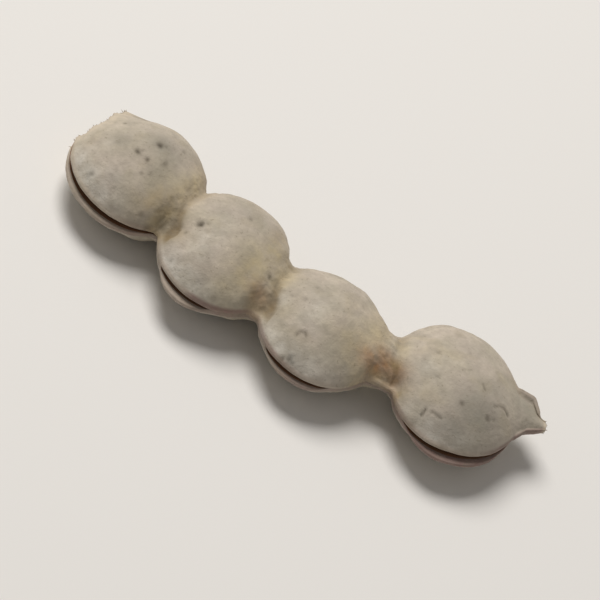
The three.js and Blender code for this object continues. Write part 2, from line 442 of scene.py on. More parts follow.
PITS = (
    Pit(0, -0.5, -1.5, 0.31, 0.13, 0.85),
    Pit(0, -0.35, -1.05, 0.19, 0.05, 0.45),
    Pit(0, 0.06, 0.91, 0.34, 0.14, 0.9),
    Pit(0, 0.45, 1.3, 0.17, 0.04, 0.4),
    Pit(0, 0.66, -1.34, 0.26, 0.11, 0.8),
    Pit(0, 1.86, -0.1, 0.41, 0.08, 0.45),
    Pit(0, 1.4, -2.68, 0.22, 0.05, 0.45),
    Pit(0, 1.9, -2.05, 0.19, 0.04, 0.3),
    Pit(0, 1.56, 2.95, 0.22, 0.05, 0.35),
    Pit(0, -1.44, -5.75, 0.29, 0.08, 0.5),
    Pit(0, -2.4, -2.2, 0.26, 0.04, 0.25),
    Pit(0, -4.2, 0.55, 0.17, 0.05, 0.5),
    Pit(0, 4.1, -4.65, 0.24, 0.06, 0.3),
    Pit(1, -2.93, -1.65, 0.36, 0.19, 0.95),
    Pit(1, -2.55, -1.25, 0.17, 0.05, 0.45),
    Pit(1, -3.5, -2.9, 0.18, 0.06, 0.5),
    Pit(1, -0.1, 2.76, 0.24, 0.06, 0.4),
    Pit(1, 4.95, -1.0, 0.26, 0.09, 0.5),
    Pit(1, 3.8, 0.25, 0.22, 0.05, 0.3),
    Pit(1, -2.6, -5.8, 0.19, 0.04, 0.3),
    Pit(2, -1.1, -6.6, 0.26, 0.09, 0.6),
    Pit(2, -1.6, -6.75, 0.19, 0.07, 0.55),
    Pit(2, -0.75, -6.75, 0.17, 0.05, 0.5),
    Pit(2, -2.8, -1.1, 0.22, 0.05, 0.35),
    Pit(2, -2.5, 0.8, 0.19, 0.04, 0.3),
    Pit(2, -3.95, -1.3, 0.19, 0.04, 0.25),
    Pit(2, 2.3, 1.8, 0.24, 0.04, 0.25),
    Pit(3, 0.33, -3.47, 0.24, 0.09, 0.65),
    Pit(3, 3.0, -3.7, 0.26, 0.1, 0.6),
    Pit(3, 3.6, -3.4, 0.17, 0.05, 0.35),
    Pit(3, -2.5, -1.6, 0.29, 0.06, 0.4),
    Pit(3, -3.0, 1.3, 0.26, 0.05, 0.35),
    Pit(3, 0.1, 2.6, 0.19, 0.03, 0.2),
    Pit(0, 1.0, 2.2, 0.36, 0.1, 0.6, upper=False),
    Pit(0, -1.6, -2.4, 0.26, 0.07, 0.5, upper=False),
    Pit(1, 0.4, -3.0, 0.31, 0.1, 0.7, upper=False),
    Pit(1, -1.5, 1.2, 0.24, 0.06, 0.5, upper=False),
    Pit(2, 1.8, 2.6, 0.29, 0.08, 0.6, upper=False),
    Pit(3, -1.2, 3.4, 0.36, 0.12, 0.7, upper=False),
    Pit(3, 2.6, -1.8, 0.26, 0.07, 0.5, upper=False),
)


class Fold(NamedTuple):
    bead: int
    line: tuple  # spots that it runs through, from the bead's middle
    width: float
    depth: float
    dark: float
    upper: bool = True


FOLDS = (
    Fold(0, ((4.9, -4.5), (5.3, -3.7), (5.5, -3.0)), 0.18, 0.08, 0.3),
    Fold(0, ((5.5, -4.1), (5.8, -3.4)), 0.15, 0.06, 0.3),
    Fold(2, ((-1.75, -4.75), (-1.6, -4.35), (-1.2, -4.2), (-0.95, -4.5)), 0.16, 0.10, 0.5),
    Fold(3, ((-2.5, -4.85), (-2.62, -5.4)), 0.13, 0.09, 0.7),
    Fold(3, ((-2.7, -5.5), (-2.95, -6.1)), 0.16, 0.05, 0.25),
    Fold(3, ((-1.95, -5.0), (-1.5, -5.15), (-1.05, -5.3)), 0.14, 0.09, 0.5),
    Fold(3, ((3.3, -2.25), (3.9, -1.85), (4.5, -1.8), (4.95, -2.15)), 0.15, 0.09, 0.45),
    Fold(3, ((4.4, -1.8), (4.95, -2.1)), 0.14, 0.05, 0.6),
    Fold(3, ((1.8, -0.6), (2.1, -1.1)), 0.13, 0.05, 0.45),
    Fold(1, ((2.2, 1.0), (2.9, 0.4), (3.2, -0.5)), 0.18, 0.08, 0.4, upper=False),
    Fold(3, ((-3.4, -0.6), (-2.6, -1.2), (-2.3, -2.0)), 0.18, 0.09, 0.4, upper=False),
)


class Patch(NamedTuple):
    bead: int
    place: float
    across: float
    length: float  # half of it, along the pod
    width: float
    strength: float
    upper: bool = True


# Grey bloom on the down; one patch, marked below, is painted shade.
BLOOM_AND_SHADE = (
    Patch(0, 0.3, 1.3, 2.1, 1.6, 0.8),
    Patch(0, -2.3, -1.7, 1.2, 1.2, 0.6),
    Patch(0, 3.7, 0.2, 0.6, 3.4, 0.35),
    Patch(0, 2.2, -1.4, 1.2, 1.4, 0.5),
    Patch(0, 1.4, 3.6, 1.5, 1.2, 0.4),
    Patch(1, -2.2, 1.2, 1.5, 1.3, 0.45),
    Patch(1, -0.4, 3.6, 2.6, 1.8, 0.5),
    Patch(1, 0.6, -5.9, 1.4, 0.8, 0.35),
    Patch(2, -2.4, 0.8, 1.6, 1.6, 0.25),
    Patch(2, -1.0, -5.9, 1.2, 0.9, 0.35),
    Patch(2, 0.9, 2.6, 1.4, 1.0, 0.35),
    Patch(2, 1.4, -4.3, 1.0, 1.6, 0.4),
    # painted shade near the third bead's gaping edge
    Patch(2, 3.4, -4.7, 0.6, 0.5, 0.5),
    Patch(3, 1.9, -0.8, 1.0, 1.4, 0.5),
    Patch(3, -2.3, -4.6, 1.2, 0.6, 0.4),
    Patch(3, 1.9, -3.6, 2.6, 2.4, 1.0),
    Patch(3, 0.6, -5.4, 2.2, 1.3, 0.8),
    Patch(3, 3.4, -0.8, 1.6, 1.4, 0.6),
    Patch(3, 1.0, 3.4, 2.4, 1.6, 0.35),
    Patch(3, 7.4, 0.8, 1.9, 2.4, 0.8),
    Patch(0, -1.0, 1.0, 2.4, 2.0, 0.7, upper=False),
    Patch(1, 1.2, -2.2, 2.4, 2.4, 0.8, upper=False),
    Patch(2, -1.4, 2.0, 2.2, 1.6, 0.6, upper=False),
    Patch(3, 0.8, 2.6, 3.0, 2.2, 0.8, upper=False),
)
RUST = (
    Patch(1, 5.3, -3.0, 1.0, 0.9, 0.45),
    Patch(2, 6.4, -1.5, 1.1, 1.0, 0.95),
    Patch(2, 4.9, -2.5, 0.9, 0.8, 0.8),
    Patch(2, 7.6, -1.9, 0.8, 0.9, 0.8),
    Patch(2, 5.9, -2.3, 0.8, 0.6, 0.8),
    Patch(1, 5.2, 1.6, 0.9, 0.9, 0.6, upper=False),
)
# Tan patches: partly the husk's own tint, partly painted shade on the beads' flanks towards the next waist.
TAN_AND_SHADE = (
    Patch(0, -4.4, -4.0, 0.9, 1.2, 0.6),
    Patch(0, 3.2, -4.7, 1.2, 1.2, 0.6),
    Patch(0, 3.6, -1.8, 1.8, 1.8, 0.6),
    Patch(0, 5.7, -3.2, 1.2, 1.6, 0.95),
    Patch(1, 3.4, -1.8, 2.0, 3.6, 0.95),
    Patch(1, 2.7, -5.2, 1.8, 1.2, 0.75),
    Patch(1, 3.8, 1.6, 1.6, 2.2, 0.9),
    Patch(1, 6.2, -3.2, 1.4, 1.4, 1.0),
    Patch(1, 5.2, -0.4, 1.2, 2.8, 0.6),
    Patch(2, 3.0, -2.6, 2.0, 1.8, 0.85),
    Patch(2, 6.0, -3.0, 1.4, 1.2, 0.6),
    Patch(0, 3.8, 0.0, 1.6, 4.0, 0.7, upper=False),
    Patch(1, 3.8, 0.0, 1.6, 4.0, 0.7, upper=False),
    Patch(2, 3.6, 0.0, 1.6, 3.4, 0.7, upper=False),
    Patch(3, -3.4, -2.0, 1.6, 2.0, 0.5, upper=False),
)
# Olive patches: partly the husk's own tint, partly painted shade on the flanks beside the waists.
OLIVE_AND_SHADE = (
    Patch(0, 4.2, 4.4, 1.4, 1.4, 0.5),
    Patch(0, 6.4, -4.6, 0.8, 0.5, 0.5),
    Patch(0, 6.8, -3.9, 0.9, 1.0, 0.9),
    Patch(0, 3.9, -3.4, 0.7, 1.3, 0.6),
    Patch(0, 5.1, -2.6, 1.0, 1.2, 0.7),
    Patch(1, 3.2, 4.6, 0.9, 1.6, 0.5),
    Patch(1, 4.6, -3.3, 0.6, 0.5, 0.4),
    Patch(1, 5.2, 2.6, 1.2, 0.8, 0.4),
    Patch(2, 5.0, 3.6, 0.9, 1.2, 0.5),
    Patch(2, 6.6, 2.6, 0.9, 0.7, 0.3),
    Patch(2, 6.8, -1.2, 1.0, 0.45, 0.8),
    Patch(3, -6.1, -2.8, 0.6, 1.1, 0.7),
    Patch(3, -5.2, -3.9, 1.0, 1.3, 0.9),
    Patch(3, -3.4, -5.6, 0.9, 0.9, 0.3),
    Patch(3, 5.6, 3.0, 0.9, 1.1, 0.4),
)
# Cream patches: the husk's own paler tint on the waists, and painted light at their gaping ends.
CREAM_AND_LIGHT = (
    Patch(0, 4.9, 1.4, 1.2, 2.6, 0.95),
    Patch(1, 6.1, 0.4, 0.7, 2.2, 0.6),
    Patch(2, 4.6, 0.6, 1.4, 2.4, 0.85),
    # These four are painted light on the gaping ends of the waists.
    Patch(0, 5.2, -3.8, 0.6, 0.6, 1.0),
    Patch(1, 5.5, -3.7, 0.7, 0.5, 1.0),
    Patch(2, 4.6, -4.2, 1.0, 1.0, 0.7),
    Patch(2, 5.9, -2.8, 1.0, 0.4, 0.9),
    Patch(3, -6.4, 0.6, 0.7, 1.4, 0.85),
    Patch(0, 5.2, 0.8, 1.2, 2.8, 0.8, upper=False),
    Patch(1, 5.4, 0.0, 1.2, 2.8, 0.8, upper=False),
    Patch(2, 5.6, 0.0, 1.6, 2.4, 0.8, upper=False),
)
# Frost patches: whiter down, partly painted highlight on the beads' lit flanks.
FROST_AND_HIGHLIGHT = (
    Patch(0, -3.2, -4.2, 0.9, 1.4, 0.45),
    Patch(0, -0.1, -4.9, 0.8, 0.7, 0.5),
    Patch(1, -1.4, -3.0, 1.1, 2.6, 0.5),
    Patch(2, -4.9, -2.1, 0.8, 0.9, 0.9),
    Patch(2, -4.2, -5.4, 0.8, 0.7, 0.8),
    Patch(2, -1.5, -1.6, 0.9, 2.2, 0.5),
    Patch(3, -6.6, 0.0, 0.5, 0.9, 0.9),
    Patch(3, -3.4, -0.8, 1.2, 1.4, 0.4),
)

# How bare of down each valve's gaping edge is, by place.
UPPER_BARE = (
    (0.0, 0.1), (8.0, 0.1), (10.0, 0.4), (12.0, 0.1), (16.5, 0.25), (18.0, 0.95), (21.2, 0.95), (22.7, 0.4),
    (24.6, 0.75), (27.2, 0.6), (29.0, 0.15), (32.0, 0.05), (36.0, 0.15), (38.0, 0.5), (41.0, 0.15),
    (45.5, 0.2), (47.4, 0.85), (50.5, 0.8),
)
LOWER_BARE = (
    (0.0, 0.1), (6.0, 0.3), (10.0, 0.7), (13.0, 0.2), (17.0, 0.35), (20.0, 0.8), (25.0, 0.25), (28.0, 0.7),
    (34.9, 0.6), (38.0, 0.8), (41.0, 1.0), (50.0, 1.0),
)


PATCH_FADING = 0.8  # at its stated length and width a patch has faded to exp(-0.8), or 45 percent
BLOTCH_EDGE = (0.05, 0.5)  # noise at which a blotch begins, and is full


def patch_mask(husk, patches):
    """How strongly a set of patches colours each point."""
    mask = np.zeros_like(husk.across)
    for patch in patches:
        along = (husk.place - BEADS[patch.bead].at - patch.place) / patch.length
        aside = (husk.across - patch.across) / patch.width
        strength = patch.strength * (husk.upper == patch.upper)
        mask = np.maximum(mask, strength * np.exp(-PATCH_FADING * (along**2 + aside**2)))
    return mask


def blotches(husk, size, strength, layer):
    """Blotches strewn over the whole husk, about size across."""
    return strength * step(grain(husk.points, size, 2, layer=layer), *BLOTCH_EDGE)


def line_distance(along, across, line):
    """Each point's distance in plan from a line of spots."""
    spots = np.stack([along, across], axis=-1)
    nearest = np.full(across.shape, np.inf)
    for start, end in zip(line, line[1:]):
        start, run = np.array(start), np.subtract(end, start)
        share = np.clip((spots - start) @ run / (run @ run), 0, 1)
        nearest = np.minimum(nearest, np.linalg.norm(spots - start - share[..., None] * run, axis=-1))
    return nearest


RAGGED = (0.4, 0.35, 6)  # lumps in the outlines of pits and folds: their size, share and noise layer

# The width and height of the low rim round a mark, and the width of its stain, as shares of the mark's own.
PIT_SHARES = (2.2, 0.25, 1.0)
FOLD_SHARES = (2.5, 0.4, 0.9)


def marks(husk):
    """The pits and folds, as a depth and as a dark stain. Their outlines are ragged."""
    ragged = 1 + lumps(husk.points, RAGGED)
    depth = np.zeros_like(husk.across)
    dark = np.zeros_like(husk.across)
    for mark in (*PITS, *FOLDS):
        from_bead = husk.place - BEADS[mark.bead].at
        if isinstance(mark, Fold):
            away = line_distance(from_bead, husk.across, mark.line) * ragged
            rim_width, rim_height, stain_width = FOLD_SHARES
        else:
            away = np.hypot(from_bead - mark.place, husk.across - mark.across) * ragged
            rim_width, rim_height, stain_width = PIT_SHARES
        on_valve = husk.upper == mark.upper
        rim = rim_height * hump(away, rim_width * mark.width)
        depth = depth + on_valve * mark.depth * (hump(away, mark.width) - rim)
        dark = np.maximum(dark, on_valve * mark.dark * hump(away, stain_width * mark.width))
    return depth, dark


# ---- Relief: what lifts or sinks the husk ----


class Rib(NamedTuple):
    at: float  # its middle's distance from an edge of the valve
    width: float
    height: float  # below 0 for a groove


GAPING_RIBS = (Rib(0.3, 0.2, 0.012),)
SHUT_RIBS = (Rib(0.4, 0.3, 0.12), Rib(0.95, 0.25, -0.08))
HOLLOW_EDGE = (0.1, 0.8)  # distances from the gaping edge over which the hollows fade in

PUCKER_SIZE = (2.6, 0.7, 1.5)  # of the folds through a waist: along the pod, across it and in height
PUCKER_RUN = 1.2  # how far from the waist they run
LUMPS_BEFORE, LUMPS_RUN = 0.6, 1.5  # how far before the waist the lumps are, and how far they spread

# Lumps, as size, height and noise layer. The swells, ripples and tufts are all over the husk.
PUCKERS = (1.0, 0.08, 3)
WAIST_LUMPS = (0.55, 0.045, 7)
SWELLS, RIPPLES, TUFTS = (5.0, 0.14, 1), (1.4, 0.04, 2), (0.42, 0.018, 4)

CREASE_DEPTH = 0.06  # how far a crease sinks below where the dome and the neck meet
RELIEF_SHARE = {"back": 1.0, "edge": 0.5, "wall": 0.15, "seam": 0.0}  # of the relief, by kind of column
STUMP_RELIEF, BEAK_RELIEF = (0.3, 1.6), (0.2, 1.4)  # how far behind the torn ends it begins


def ribs(distance, shape):
    """How far ribs along an edge lift each point, by its distance from that edge."""
    return sum(rib.height * hump(distance - rib.at, rib.width) for rib in shape)


def hollows(husk):
    """The sunk places beside the waists."""
    depth = np.zeros_like(husk.across)
    for hollow in HOLLOWS:
        along = (husk.place - hollow.place) / hollow.length
        aside = (husk.across - hollow.across) / hollow.width
        depth = depth + hollow.depth * np.exp(-(along**2) - aside**2)
    return depth * husk.back * step(husk.from_gaping, *HOLLOW_EDGE)


def waist_puckers(husk):
    """Folds that run along the pod through each waist, where the husk shrank round the seeds, and lumps."""
    drawn_out = np.stack([husk.place, husk.across, husk.height], axis=-1) / PUCKER_SIZE
    through = sum(hump(husk.place - waist.at, PUCKER_RUN) for waist in WAISTS)
    before = sum(hump(husk.place - waist.at + LUMPS_BEFORE, LUMPS_RUN) for waist in WAISTS)
    return through * lumps(drawn_out, PUCKERS) + before * lumps(husk.points, WAIST_LUMPS)


def top_wrinkles(husk):
    """Fine wrinkles, side by side, near the top of the second bead."""
    middle, half_length, half_width = (-0.2, 2.2), 1.4, 1.6
    slant, pitch, height = (0.5, 0.9), 0.5, 0.022
    wander, wander_size = 0.9, 1.5
    along, aside = husk.place - BEADS[1].at, husk.across
    off_middle = ((along - middle[0]) / half_length) ** 2 + ((aside - middle[1]) / half_width) ** 2
    phase = (aside * slant[1] + along * slant[0]) / pitch + wander * grain(husk.points, wander_size, layer=5)
    return height * np.exp(-off_middle) * np.sin(2 * math.pi * phase) * husk.upper


def relief(husk):
    """Everything that lifts or sinks the husk, and its dark stains."""
    depth, dark = marks(husk)
    lifted = lumps(husk.points, SWELLS, RIPPLES, TUFTS)
    edges = ribs(husk.from_gaping, GAPING_RIBS) + ribs(husk.from_shut, SHUT_RIBS)
    lifted = lifted + edges * husk.back + waist_puckers(husk) + top_wrinkles(husk)
    outside = np.array([RELIEF_SHARE[kind] for kind in husk.kind])
    off_ends = step(husk.place, *STUMP_RELIEF) * step(POD_LENGTH - husk.place, *BEAK_RELIEF)
    return (lifted - depth - CREASE_DEPTH * husk.crease - hollows(husk)) * outside * off_ends, dark


# ---- Torn ends ----


class End(NamedTuple):
    row: int  # of the husk's points
    place: float
    facing: int  # 1 along the pod, and -1 back
    pith: float  # how far the middle of its face sticks out. Below 0 it is broken in
    layer: int  # of the noise on its face
    shreds: int
    longest: float  # of the shreds


ENDS = (
    End(row=0, place=0.0, facing=-1, pith=-0.45, layer=21, shreds=40, longest=0.32),
    End(row=-1, place=POD_LENGTH, facing=1, pith=-0.15, layer=23, shreds=10, longest=0.2),
)

TEAR_RUN = 1.8  # how far along the pod a ragged edge is felt
COARSE_RAGS, FINE_RAGS = (1.5, 0.22), (0.4, 0.16)  # of a ragged edge: their size, and how far they reach
BEAK_RAGS = 0.5  # share of their reach at the beak

# How far the stump's torn rim sticks out, by across: a pointed nub stands near the shut side.
STUMP_RIM = (
    (-4.5, -0.4), (-3.5, 0.0), (-2.0, 0.2), (0.0, 0.3), (0.8, 0.4), (1.4, 0.7), (2.2, 0.85), (3.0, 1.05),
    (3.7, 1.1), (4.1, 0.5), (4.5, -0.3),
)
LOWER_RIM = 0.4  # share of it on the lower valve

# The thin torn edge that curls up along the shut side of the beak.
FLAP_STARTS, FLAP_ENDS = (47.6, 49.0), (50.6, 51.2)
FLAP_RIBS = (Rib(0.2, 0.25, 0.34), Rib(0.9, 0.4, -0.12))

FACE_PITCH, FACE_CLEAR = 0.13, 0.09  # between the points on a torn face, and from them to its rim
FACE_JITTER = 0.3  # how far each is off its place in the grid, as a share of the pitch
FACE_RIM = (0.0, 0.45)  # distances from its rim over which it leaves the rim's raggedness
FACE_FIBRES, FINE_FIBRES = (0.4, 0.14), (0.16, 0.07)  # on it: their size, and how far they stick out

SHRED_RADII = (0.04, 0.08)
SHRED_LENGTHS = (0.3, 1.0)  # as shares of an end's longest
SHRED_ROOT = 0.05  # how deep in the husk it starts
SHRED_SPREAD = 0.5  # how far it aims out of the husk and, at random, any other way
SHRED_BEND = 0.35  # the most that its tip is bent aside, as a share of its length


def raggedness(husk, row, layer):
    """How far each point of an end section sticks out of the end, or in from it below 0."""
    spots = np.stack([husk.across[row], husk.height[row], 0 * husk.across[row]], axis=-1)
    return lumps(spots, (*COARSE_RAGS, layer), (*FINE_RAGS, layer + 1))


def tear(husk):
    """Moves the stations near both ends so that the ends are ragged. Gives how far each end sticks out."""
    rim = by_place(husk.across[0], STUMP_RIM)
    stump = raggedness(husk, 0, layer=11) + rim * np.where(husk.upper, 1.0, LOWER_RIM)
    beak = BEAK_RAGS * raggedness(husk, -1, layer=13)
    near_stump = np.clip(1 - husk.place / TEAR_RUN, 0, 1) ** 2
    near_beak = np.clip(1 - (POD_LENGTH - husk.place) / TEAR_RUN, 0, 1) ** 2
    husk.place = husk.place - near_stump * stump + near_beak * beak
    return stump, beak


def beak_flap(husk):
    """How far the torn edge along the beak curls up, and the gutter inside it is sunk."""
    along = step(husk.place, *FLAP_STARTS) * (1 - step(husk.place, *FLAP_ENDS))
    return along * ribs(husk.from_shut, FLAP_RIBS) * (husk.back & husk.upper)


def inside_ring(spot, ring):
    """Whether a spot is inside a closed outline."""
    after = np.roll(ring, -1, axis=0)
    crosses = (ring[:, 1] > spot[1]) != (after[:, 1] > spot[1])
    rise = np.where(crosses, after[:, 1] - ring[:, 1], 1.0)
    at = ring[:, 0] + (spot[1] - ring[:, 1]) / rise * (after[:, 0] - ring[:, 0])
    return bool(np.count_nonzero(crosses & (at > spot[0])) % 2)


def torn_face(husk, end, sticks_out):
    """The broken face across an end: points inside the end's outline, as across and height, how far each
    sticks out, and the triangles between them all. The outline's points are numbered first."""
    ring = np.stack([husk.across[end.row], husk.height[end.row]], axis=-1)
    low, high = ring.min(axis=0), ring.max(axis=0)
    across, height = np.meshgrid(*(np.arange(low[i], high[i], FACE_PITCH) for i in (0, 1)))
    grid = np.stack([across.ravel(), height.ravel()], axis=-1)
    grid = grid + rng.uniform(-FACE_JITTER, FACE_JITTER, grid.shape) * FACE_PITCH
    away = np.linalg.norm(grid[:, None] - ring[None], axis=-1)
    inside = [gap > FACE_CLEAR and inside_ring(spot, ring) for spot, gap in zip(grid, away.min(axis=1))]
    grid, away = grid[inside], away[inside]

    flat = [Vector(p) for p in (*ring, *grid)]
    edges = [(i, (i + 1) % len(ring)) for i in range(len(ring))]
    only_inside, merge_within = 1, 1e-7
    _, _, faces, origins, _, _ = geometry.delaunay_2d_cdt(flat, edges, [], only_inside, merge_within)
    faces = [[origins[i][0] for i in face] for face in faces]

    spots = np.stack([grid[:, 0], grid[:, 1], 0 * grid[:, 0]], axis=-1)
    size, reach = FINE_FIBRES
    fibres = lumps(spots, (*FACE_FIBRES, end.layer)) + reach * grain(spots, size, layer=end.layer + 1)
    rim = sticks_out[away.argmin(axis=1)]
    return grid, rim + (end.pith + fibres - rim) * step(away.min(axis=1), *FACE_RIM), faces


def shred(root, direction, length, radius):
    """A thin closed shred of husk that bends a little: its points and its faces."""
    sides, rings = 5, 4
    taper, flatness = 0.7, 0.5
    direction = direction / np.linalg.norm(direction)
    aside = np.cross(direction, rng.normal(size=3))
    aside = aside / np.linalg.norm(aside)
    other = np.cross(direction, aside)
    bend = rng.uniform(-SHRED_BEND, SHRED_BEND) * length
    spots = []
    for i in range(rings):
        share = i / rings
        centre = root + direction * length * share + aside * bend * share**2
        wide = radius * (1 - share) ** taper
        for turn in np.linspace(0, 2 * math.pi, sides, endpoint=False):
            spots.append(centre + wide * (math.cos(turn) * aside + flatness * math.sin(turn) * other))
    spots.append(root + direction * length + aside * bend)
    faces = [list(range(sides))[::-1]]
    for i in range(rings - 1):
        for k in range(sides):
            a, b = i * sides + k, i * sides + (k + 1) % sides
            faces.append([a, b, b + sides, a + sides])
    last = (rings - 1) * sides
    faces += [[last + k, last + (k + 1) % sides, rings * sides] for k in range(sides)]
    return spots, faces


# ---- Masks for the colours, the painted shade and the painted highlights ----

BARE_EDGE = (0.3, 0.75)  # distances from a gaping edge over which the down begins
SHUT_BARE_EDGE, SHUT_BARE = (0.2, 0.7), 0.5  # the same on the shut side, and how bare that is
# The frost band along the gaping edge is partly whiter down, partly painted highlight.
FROST_STARTS, FROST_ENDS = (0.2, 0.6), (1.0, 3.4)  # distances from a gaping edge
FROST_BEFORE, FROST_RUN = 1.4, 4.0  # how far before a bead's middle it is whitest, and how far round
CREASE_DARKENS = (-0.5, 2.0)  # distances to the gaping side over which a crease gets its full painted shade
CREASE_ELSEWHERE = 0.4  # share of that painted shade on the shut side
TORN_STUMP, TORN_BEAK = 1.0, 0.5  # how far from the ends bare fibre shows
TORN_WANDER, TORN_WANDER_SIZE = 0.5, 0.6  # how far its edge wanders at the stump
FLAP_EDGE = Rib(0.1, 0.2, 0.6)  # bare fibre along the torn edge of the beak


def bare_mask(husk):
    """How bare each point is: the down is thin on the valves' edges, and close from a millimetre in."""
    edge = np.where(husk.back, 1 - step(husk.from_gaping, *BARE_EDGE), 1.0)
    bare = np.where(husk.upper, by_place(husk.place, UPPER_BARE), by_place(husk.place, LOWER_BARE))
    shut = np.where(husk.back, 1 - step(husk.from_shut, *SHUT_BARE_EDGE), 1.0) * (husk.across > 0)
    return np.maximum(edge * bare * (husk.across < 0), SHUT_BARE * shut)


def pale_and_highlight_mask(husk):
    """How pale each point is painted along the gaping side of the beads: partly whiter down, partly painted
    highlight.
    """
    frost = step(husk.from_gaping, *FROST_STARTS) * (1 - step(husk.from_gaping, *FROST_ENDS))
    beads = sum(hump(husk.place - bead.at + FROST_BEFORE, FROST_RUN) for bead in BEADS)
    return frost * np.clip(beads, 0, 1) * husk.back


def torn_mask(husk):
    """1 at the ragged ends, where bare fibre shows, and 0 a millimetre in."""
    wander = TORN_WANDER * grain(husk.points, TORN_WANDER_SIZE, 2, layer=8)
    stump = 1 - step(husk.place + wander, 0.0, TORN_STUMP)
    beak = step(husk.place, POD_LENGTH - TORN_BEAK, POD_LENGTH)
    flap = step(husk.place, *FLAP_STARTS) * ribs(husk.from_shut, [FLAP_EDGE]) * husk.upper * husk.back
    return np.maximum(stump, np.maximum(flap, beak))


def colour_masks(husk, dark):
    """What the husk's material reads at each point, by name."""
    crease_shade_share = CREASE_ELSEWHERE + (1 - CREASE_ELSEWHERE) * step(-husk.across, *CREASE_DARKENS)
    return {
        "bare": bare_mask(husk),
        "pale_and_highlight": np.maximum(pale_and_highlight_mask(husk), patch_mask(husk, FROST_AND_HIGHLIGHT)),
        # painted shade in the creases, full on their gaping side
        "crease": husk.crease * crease_shade_share,
        "bloom_and_shade": np.maximum(patch_mask(husk, BLOOM_AND_SHADE), blotches(husk, size=1.7, strength=0.25, layer=9)),
        "rust": patch_mask(husk, RUST),
        "tan_and_shade": np.maximum(patch_mask(husk, TAN_AND_SHADE), blotches(husk, size=2.4, strength=0.28, layer=10)),
        "cream_and_light": patch_mask(husk, CREAM_AND_LIGHT),
        "olive_and_shade": patch_mask(husk, OLIVE_AND_SHADE),
        "dark": dark,
        "torn": torn_mask(husk),
    }


# ---- The pod's mesh ----


def place_object(name, data):
    """A new object in the scene."""
    placed = bpy.data.objects.new(name, data)
    bpy.context.scene.collection.objects.link(placed)
    return placed


HUSK_SLOT, LINING_SLOT, TORN_SLOT = range(3)


class Build:
    """The pod's points in mm, its faces and their material slots, as they are put together."""

    def __init__(self, husk, points):
        """Starts with the husk's own grid, closed round each section."""
        rows, columns = husk.across.shape
        self.grid = np.arange(rows * columns).reshape(rows, columns)
        around = np.roll(self.grid, -1, axis=1)
        corners = (self.grid[:-1], self.grid[1:], around[1:], around[:-1])
        in_crack = (husk.kind == "wall") | (np.roll(husk.kind, -1) == "wall")
        self.spots = points.reshape(-1, 3).tolist()
        self.faces = np.stack(corners, axis=-1).reshape(-1, 4).tolist()
        self.slots = np.where(np.tile(in_crack, rows - 1), LINING_SLOT, HUSK_SLOT).tolist()

    def close_end(self, husk, end, sticks_out):
        """Adds the torn face across an end."""
        grid, reach, triangles = torn_face(husk, end, sticks_out)
        numbers = [*self.grid[end.row].tolist(), *range(len(self.spots), len(self.spots) + len(grid))]
        self.spots += in_space(end.place + end.facing * reach, grid[:, 0], grid[:, 1]).tolist()
        for triangle in triangles:
            ring = [numbers[i] for i in triangle]
            self.faces.append(ring[:: -end.facing])
            self.slots.append(TORN_SLOT)

    def shred_end(self, husk, end, points, direction):
        """Adds the shreds that stand out of the torn rim of an end."""
        for column in rng.choice(np.flatnonzero(husk.back), end.shreds, replace=True):
            out = direction[end.row, column]
            root = points[end.row, column] - SHRED_ROOT * out
            aim = np.array([end.facing, 0, 0]) + SHRED_SPREAD * out + rng.normal(scale=SHRED_SPREAD, size=3)
            length = rng.uniform(*SHRED_LENGTHS) * end.longest
            spots, faces = shred(root, aim, length, rng.uniform(*SHRED_RADII))
            self.faces += [[i + len(self.spots) for i in face] for face in faces]
            self.slots += [TORN_SLOT] * len(faces)
            self.spots += [spot.tolist() for spot in spots]


def pod_mesh():
    """The whole pod as one mesh in metres, in the frame's place."""
    husk = Husk()
    corners = husk.points.reshape(-1, 3)
    box_middle = (corners.min(axis=0) + corners.max(axis=0)) / 2
    lifted, dark = relief(husk)
    masks = colour_masks(husk, dark)
    lifted = lifted + beak_flap(husk)
    direction = husk.outward()
    tears = tear(husk)
    points = in_space(husk.place, husk.across, husk.height) + lifted[..., None] * direction

    build = Build(husk, points)
    for end, sticks_out in zip(ENDS, tears):
        build.close_end(husk, end, sticks_out)
    for end in ENDS:
        build.shred_end(husk, end, points, direction)

    # Over the CAD pod's place, and flattened where the beads rest.
    spots = np.array(build.spots)
    low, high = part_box("pod")
    spots[:, :2] += (np.array((low + high) / 2) / MM - box_middle)[:2]
    spots[:, 2] = np.maximum(spots[:, 2], 0)

    mesh = bpy.data.meshes.new("babul_pod")
    mesh.from_pydata((spots * MM).tolist(), [], build.faces)
    mesh.polygons.foreach_set("material_index", build.slots)
    mesh.polygons.foreach_set("use_smooth", [True] * len(build.faces))
    for name, mask in masks.items():
        values = np.full(len(spots), 1.0 if name == "torn" else 0.0, np.float32)
        values[: mask.size] = mask.ravel()
        mesh.attributes.new(name, "FLOAT", "POINT").data.foreach_set("value", values)
    mesh.validate()
    mesh.update()
    return place_object("babul_pod", mesh)


# ---- Materials ----


def linear(hex_colour):
    """An sRGB hex colour as linear red, green, blue and alpha."""
    values = [int(hex_colour[i : i + 2], 16) / 255 for i in (1, 3, 5)]
    return [v / 12.92 if v <= 0.04045 else ((v + 0.055) / 1.055) ** 2.4 for v in values] + [1.0]


def add(tree, kind, sockets=None, **settings):
    """Adds a node with its settings, and its sockets set to values or linked. Gives its outputs."""
    node = tree.nodes.new("ShaderNode" + kind)
    for name, value in settings.items():
        setattr(node, name, value)
    for socket, value in (sockets or {}).items():
        if isinstance(value, bpy.types.NodeSocket):
            tree.links.new(value, node.inputs[socket])
        else:
            node.inputs[socket].default_value = value
    return node.outputs


def new_material(name):
    """An empty material, and its node tree."""
    material = bpy.data.materials.new(name)
    material.use_nodes = True
    material.node_tree.nodes.clear()
    return material, material.node_tree


